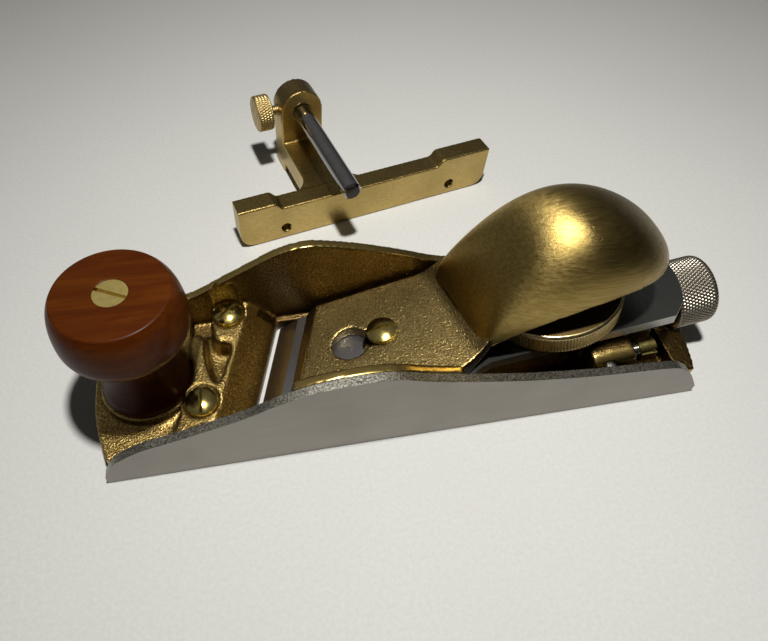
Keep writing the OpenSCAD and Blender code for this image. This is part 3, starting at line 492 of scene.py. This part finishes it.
def smooth(mesh, rounds, reach=9, depth=0.55, factor=0.5):
    """Evens out a mesh, and notes how hollow each place is.

    That is how far it moves when smoothed on for reach rounds, up to depth in millimetres.
    """
    bm = bmesh.new()
    bm.from_mesh(mesh)
    near = [[e.other_vert(v).index for e in v.link_edges] for v in bm.verts]
    points = [v.co.copy() for v in bm.verts]

    def relax(at):
        return [p.lerp(sum((at[k] for k in n), Vector()) / len(n), factor)
                for p, n in zip(at, near)]

    for _ in range(rounds):
        points = relax(points)
    for v, at in zip(bm.verts, points):
        v.co = at
    bm.normal_update()
    even = points
    for _ in range(reach):
        even = relax(even)
    hollow = [min(max(0.5 + (b - a).dot(v.normal) / (2 * depth * MM), 0), 1)
              for v, a, b in zip(bm.verts, points, even)]
    for f in bm.faces:
        f.smooth = True
    bm.to_mesh(mesh)
    bm.free()
    mesh.attributes.new("hollow", "FLOAT", "POINT").data.foreach_set("value", hollow)


def lathe(profile, steps, matrix, shape=None):
    """A closed turned solid from (radius, height) pairs.

    shape(angle, radius, height, row) gives the radius at an angle.
    """
    bm = bmesh.new()
    rows = []
    for k, (r, z) in enumerate(profile):
        ring = []
        for i in range(steps):
            angle = 2 * math.pi * i / steps
            at = shape(angle, r, z, k) if shape else r
            point = Vector((at * math.cos(angle), at * math.sin(angle), z))
            ring.append(bm.verts.new(matrix @ point * MM))
        rows.append(ring)
    for low, high in zip(rows, rows[1:]):
        for i in range(steps):
            j = (i + 1) % steps
            bm.faces.new((low[i], low[j], high[j], high[i])).smooth = True
    bm.faces.new(list(reversed(rows[0])))
    bm.faces.new(rows[-1])
    mesh = bpy.data.meshes.new("turned")
    bm.to_mesh(mesh)
    bm.free()
    return mesh


def tri(value):
    """A zigzag between 0 and 1 with period 1."""
    part = value % 1
    return 1 - abs(2 * part - 1)


def crossed(turn, slope, z):
    """How high crossed knurling stands, 0 to 1, at a turn counted in teeth."""
    return min(1, 1.25 * min(tri(turn + slope * z), tri(turn - slope * z)))


# Pieces

def make_piece(name, mesh, body, node, *materials):
    """A new piece that rides on a body and stands for a node."""
    piece = bpy.data.objects.new(name, mesh)
    SCENE.collection.objects.link(piece)
    for material in materials:
        mesh.materials.append(material)
    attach(piece, body)
    if node:
        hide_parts(node)
    return piece


def make_lever_cap(brushed, cast, inside, bright):
    """The lever cap: an even copy of its solid, with the dome drawn onto its smooth surface."""
    reach, on_surface, still_on_surface = 0.5 * MM, 0.3 * MM, 0.12 * MM
    mesh = remeshed("lever_cap", FINE_VOXEL)
    tree = dome_tree()
    on_dome = []
    for v in mesh.vertices:
        at, _, _, gap = tree.find_nearest(v.co, reach)
        on_dome.append(gap is not None and gap < on_surface)
        if on_dome[-1]:
            v.co = at
    smooth(mesh, 2)
    for v in mesh.vertices:
        if on_dome[v.index]:
            at, _, _, gap = tree.find_nearest(v.co, reach)
            if gap is not None and gap < still_on_surface:
                v.co = at
    up = bed_frame(0, 0, 0).to_3x3() @ UP
    for face in mesh.polygons:
        n = face.normal
        # Painted shade: faces under the dome, behind x = 14 mm, that don't look up get the darkened
        # cast bronze passed as inside.
        painted_shade = face.center.x > 14 * MM and n.z < 0.5
        lip = face.center.x < -18 * MM and n.x < -0.2 and 0.80 < n.dot(up) < 0.965
        dome = sum(on_dome[i] for i in face.vertices) >= 3
        face.material_index = 0 if dome else 2 if painted_shade else 3 if lip else 1
    make_piece("lever_cap_surface", mesh, "cap", "lever_cap", brushed, cast, inside, bright)


def on_toe(at):
    """True on the rough top of the toe."""
    return -72 < at.x < -40 and -21 < at.y < 21.5 and at.z > 6.5


def off_seats(at):
    """True on the rough top of the toe, outside the screws' seats."""
    seat = 5.8
    return on_toe(at) and all(math.hypot(at.x - x, at.y - y) > seat
                              for x, y in (TOE_SCREW_AT, LOCK_SCREW_AT))


def make_body(cast, machined, rim, painted_shade):
    """The body: softened on the toe, machined outside, bright along its top edges, and with painted
    shade on the throat's far ledge.
    """
    mesh = remeshed("body", BODY_VOXEL)
    soften(mesh, off_seats, 26)
    soften(mesh, on_toe, 6)
    smooth(mesh, 3)
    for face in mesh.polygons:
        at = face.center / MM
        n = face.normal
        flat = n.z < -0.9 or (at.y > 24.6 and n.y > 0.7) or (at.y < -22 and n.y < -0.7)
        edge = n.z > 0.55 and at.z > 13 and (at.y > 22 or at.y < -18.5) and -60 < at.x < 72
        # Painted shade on the throat's far ledge, which takes the darkened cast bronze.
        shaded_ledge = n.z > 0.3 and at.z < 10 and at.y > 18.5 and -47 < at.x < -20
        face.material_index = 1 if flat else 2 if edge else 3 if shaded_ledge else 0
    make_piece("body_casting", mesh, "plane", "body", cast, machined, rim, painted_shade)


def make_fence(face_metal, top_metal):
    """The fence: brushed faces, and the skin of the casting on what looks up."""
    mesh = remeshed("fence", FINE_VOXEL)
    smooth(mesh, 2)
    for face in mesh.polygons:
        face.material_index = 1 if face.normal.z > 0.5 else 0
    make_piece("fence_casting", mesh, "fence", "fence", face_metal, top_metal)


def make_knob(wood):
    """Turned knob: flared foot, neck, ball and a flat top with a crisp rim."""
    foot, ball, widest, top = 10.5, 30.8, 38.75, 49.5
    neck = 8.4
    rows = [(0.6, foot), (12.2, foot), (12.6, foot + 0.5)]
    rows += [(neck + 4.2 * (1 - k / 12) ** 2.4, foot + 2 + k / 12 * (ball - foot - 2))
             for k in range(13)]
    rows += [(neck + 8.6 * math.cos(t), widest - (widest - ball) * math.sin(t))
             for t in (math.radians(84 - 6 * k) for k in range(15))]
    rows += [(13.6 + 3.4 * math.cos(t), widest + (top - widest) * math.sin(t))
             for t in (math.radians(5 * k) for k in range(1, 15))]
    rows += [(14.72, 48.95), (14.62, 49.15), (14.4, 49.36), (14.1, 49.47)]
    rows += [(13.8, top), (13.4, top), (5.0, top)]
    rows += [(4.45, top), (4.38, top - 0.08), (4.36, top - 2.4), (0.6, top - 2.5)]
    mesh = lathe(rows, 128, Matrix.Translation(Vector((KNOB_X, 0, 0))))
    make_piece("knob_turned", mesh, "plane", "knob", wood)


def make_heel_thread(material):
    """The thread that shows between the heel lug and its screw's head."""
    pitch, start, end, steps = 0.7, 12.15, 14.1, 22
    core, deep, high = 1.9, 1.98, 0.26
    rows = [(core, start)]
    rows += [(deep + high * tri((end - start) / pitch * k / steps),
              start + (end - start) * k / steps) for k in range(steps + 1)]
    rows += [(core, end)]
    matrix = Matrix.Translation(HEEL_SCREW_PLACE) @ turned_to(HEEL_SCREW_AXIS)
    make_piece("heel_screw_thread", lathe(rows, 48, matrix), "heel_screw", None, material)


def make_adjuster_knob(material):
    """Adjuster knob with crossed knurling that fades out on its rounded end."""
    radius, length, round_off = 10.6, 12.5, 2
    teeth, slope, depth, count = 60, 0.56, 0.42, 70
    rows = [(3.2, -1.9), (5.0, -1.9), (5.0, 0.0)]
    rows += [(8.9, 0.0), (9.7, 0.15), (10.2, 0.5), (10.5, 0.9)]
    first = len(rows)
    rows += [(radius, 1.1 + (length - 3.2) * k / count) for k in range(count + 1)]
    last = len(rows) - 1
    rows += [(radius - round_off * (1 - math.cos(t)), length - round_off + round_off * math.sin(t))
             for t in (math.pi / 2 * k / 8 for k in range(1, 9))]
    rows += [(6.0, length), (5.6, length - 0.25), (0.6, length - 0.25)]

    def shape(angle, r, z, k):
        if k < first or k > last + 5:
            return r
        fade = 1 if k <= last else 1 - (k - last) / 6
        return r - depth * fade * (1 - crossed(teeth * angle / (2 * math.pi), slope, z))

    matrix = bed_frame(*ADJUSTER_ON_BED) @ Matrix.Rotation(math.pi / 2, 4, "Y")
    mesh = lathe(rows, teeth * 8, matrix, shape)
    make_piece("adjuster_knurl", mesh, "adjuster", "adjuster_knob", material)


def make_thumb_screw(material):
    """The fence's thumb screw: a knurled disc on a threaded shank, on the axis of its joint."""
    thick, radius = 5.8, 6.5
    teeth, slope, depth = 44, 0.45, 0.3
    core, high, pitch, steps = 1.72, 0.18, 0.7, 60
    along = [(v.co / MM - THUMB_SCREW_PLACE).dot(THUMB_SCREW_AXIS)
             for v in NODES["fence_thumb_screw"].data.vertices]
    start = max(along) - thick
    tip = min(along) - start
    thread = tip + 0.4
    length = -thread - 0.1
    rows = [(1.5, tip), (1.9, thread)]
    rows += [(core + high * tri(length * k / steps / pitch), thread + length * k / steps)
             for k in range(1, steps + 1)]
    rows += [(1.9, 0.0), (5.9, 0.0), (6.2, 0.12), (6.35, 0.35)]
    first = len(rows)
    rows += [(radius, 0.5 + (thick - 1.0) * k / 36) for k in range(37)]
    last = len(rows) - 1
    rows += [(6.35, thick - 0.35), (6.2, thick - 0.12), (5.9, thick), (0.5, thick)]

    def shape(angle, r, z, k):
        if k < first or k > last:
            return r
        return r - depth * (1 - crossed(teeth * angle / (2 * math.pi), slope, z))

    place = THUMB_SCREW_PLACE + start * THUMB_SCREW_AXIS
    matrix = Matrix.Translation(place) @ turned_to(THUMB_SCREW_AXIS)
    mesh = lathe(rows, teeth * 8, matrix, shape)
    make_piece("thumb_screw_knurl", mesh, "thumb_screw", "fence_thumb_screw", material)


def make_spin_wheel(material, bright, shaded_flats):
    """Spin wheel with fine straight knurling, a polished chamfer, painted shade on its flat faces,
    and its stud.
    """
    radius, thick, stud = 20.0, 6.8, 16.0
    teeth, depth = 146, 0.33
    rows = [(0.6, -0.2), (8.8, -0.2), (9.0, 0.0), (19.2, 0.0)]
    rows += [(19.5, 0.08), (19.8, 0.5), (19.95, 0.75)]
    first = len(rows)
    rows += [(radius, 0.85 + 4.75 * k / 6) for k in range(7)]
    last = len(rows) - 1
    rows += [(19.9, 5.85), (19.8, 6.1), (19.35, thick - 0.1), (19.1, thick)]
    rows += [(9.0, thick), (8.6, thick - 0.3), (4.4, thick - 0.3), (4.0, thick - 0.1)]
    rows += [(4.0, thick + stud), (0.6, thick + stud)]

    def shape(angle, r, z, k):
        if first <= k <= last:
            return r - depth * (1 - tri(teeth * angle / (2 * math.pi)))
        return r

    matrix = bed_frame(*WHEEL_ON_BED)
    mesh = lathe(rows, teeth * 6, matrix, shape)
    back = matrix.inverted()
    for face in mesh.polygons:
        at = back @ (face.center / MM)
        # Painted shade on the flat faces, which lie under the dome.
        flat = math.hypot(at.x, at.y) < 19
        chamfer = at.z > 5.7 or at.z < 0.8
        face.material_index = 2 if flat else 1 if chamfer else 0
    make_piece("spin_wheel_knurl", mesh, "wheel", "spin_wheel", material, bright, shaded_flats)


def make_floor():
    """A plain pale floor, just under the sole."""
    mesh = bpy.data.meshes.new("floor")
    corners = [(x * FLOOR_HALF, y * FLOOR_HALF, 0) for x, y in ((-1, -1), (1, -1), (1, 1), (-1, 1))]
    mesh.from_pydata(corners, [], [(0, 1, 2, 3)])
    floor = bpy.data.objects.new("floor", mesh)
    floor.location.z = -FLOOR_DROP
    SCENE.collection.objects.link(floor)
    mesh.materials.append(table_cloth())


def dress(material, *names):
    """Gives CAD nodes their material."""
    for name in names:
        slots = NODES[name].data.materials
        slots.clear()
        slots.append(material)


SCENE.view_settings.view_transform = "Standard"
make_camera()
make_lamp()
make_world()
make_floor()

CAST = cast_bronze("cast_bronze", (0.12, 0.07, 0.014), (0.29, 0.19, 0.055), (0.56, 0.41, 0.15),
                   bump=0.7, patina_and_shade=(0.055, 0.031, 0.010))
CAP_CAST = cast_bronze("cap_cast_bronze", (0.10, 0.066, 0.019), (0.22, 0.153, 0.051),
                       (0.42, 0.315, 0.128), bump=0.65, worn=(0.535, 0.45, 1.0))
# Painted shade: a darkened copy of the cast bronze, for faces under the lever cap's dome and on the
# throat's far ledge.
PAINTED_SHADE_CAST = cast_bronze("painted_shade_cast_bronze", (0.04, 0.024, 0.009), (0.08, 0.05, 0.018),
                          (0.13, 0.085, 0.03))
FENCE = brushed_bronze("fence_bronze", (0.12, 2.5, 2.5), (0.42, 0.30, 0.10),
                       (0.60, 0.45, 0.18), (0.3, 0.42))
FENCE_TOP = cast_bronze("fence_top_bronze", (0.14, 0.092, 0.028), (0.24, 0.17, 0.055),
                        (0.36, 0.265, 0.1))
MACHINED = brushed_bronze("machined_bronze", (0.1, 3.0, 3.0), (0.40, 0.28, 0.10),
                          (0.55, 0.40, 0.17))
RIM = brushed_bronze("polished_rim", (0.1, 3.0, 3.0), (0.42, 0.30, 0.09),
                     (0.58, 0.43, 0.15), (0.16, 0.28))
BRASS = turned_metal("turned_brass", (0.46, 0.37, 0.12), 0.13)
HANDLED_BRASS = turned_metal("handled_brass", (0.66, 0.52, 0.18), 0.34)
KNURL = turned_metal("knurled_bronze", (0.47, 0.35, 0.15), 0.32)
BRIGHT = turned_metal("polished_chamfer", (0.66, 0.52, 0.26), 0.2, wear=0.85)
# Painted shade: a dark bronze for the wheel's flat faces, which lie in the dome's shade.
WHEEL_PAINTED_SHADE = turned_metal("wheel_painted_shade", (0.09, 0.06, 0.022), 0.4)
STEEL_KNURL = turned_metal("knurled_steel", (0.33, 0.295, 0.24), 0.26, wear=0.8)
STEEL = turned_metal("polished_steel", (0.42, 0.41, 0.40), 0.14, wear=0.9)

make_lever_cap(polished_dome(), CAP_CAST, PAINTED_SHADE_CAST, BRIGHT)
make_body(CAST, MACHINED, RIM, PAINTED_SHADE_CAST)
make_fence(FENCE, FENCE_TOP)
make_adjuster_knob(STEEL_KNURL)
make_spin_wheel(KNURL, BRIGHT, WHEEL_PAINTED_SHADE)
make_knob(cherry_wood())
make_heel_thread(STEEL)
make_thumb_screw(KNURL)
dress(KNURL, "adjuster_carriage")
dress(BRASS, "plate_toe_screw", "rod_lock_screw", "plate_heel_screw", "lever_cap_screw")
dress(HANDLED_BRASS, "knob_screw")
dress(ground_plate(), "side_plate")
dress(blade_steel(), "blade")
dress(rod_steel(), "fence_rod")
dress(STEEL, "adjuster_screw", "adjuster_retainer", "plate_pin_front", "plate_pin_rear")
